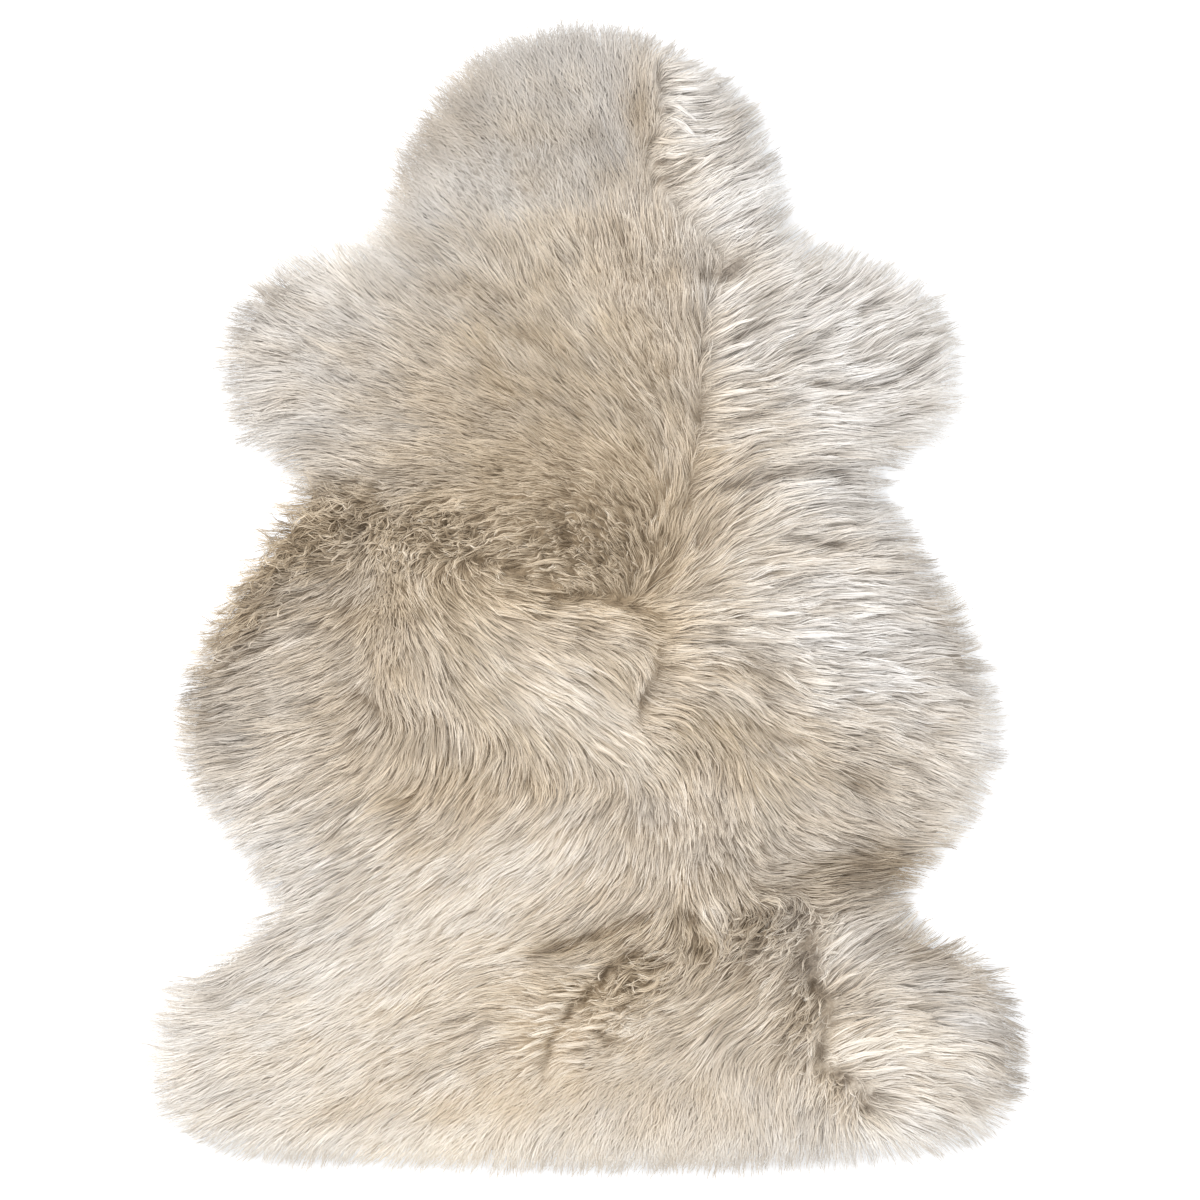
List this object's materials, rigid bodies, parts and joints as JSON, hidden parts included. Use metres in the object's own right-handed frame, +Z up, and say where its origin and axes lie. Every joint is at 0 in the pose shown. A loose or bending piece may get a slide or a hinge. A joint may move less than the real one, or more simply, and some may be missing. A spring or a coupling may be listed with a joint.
{
  "type": "sheepskin rug",
  "caption": "Single natural sheepskin rug, laid flat, a soft lobed pelt outline with long combed wool on a suede hide.",
  "frame": {"origin": "middle of the rug's box, on the floor that it lies on", "axes": "+Y from the rump to the head along the pelt, +X to the right seen from above with the head up, +Z up out of the wool"},
  "size_m": [0.7268, 0.9536, 0.0459],
  "materials": {
    "wool": "long natural wool, matt with a soft sheen",
    "hide": "napped suede"
  },
  "bodies": {
    "root": {"sheepskin": "wool"}
  },
  "joints": []
}
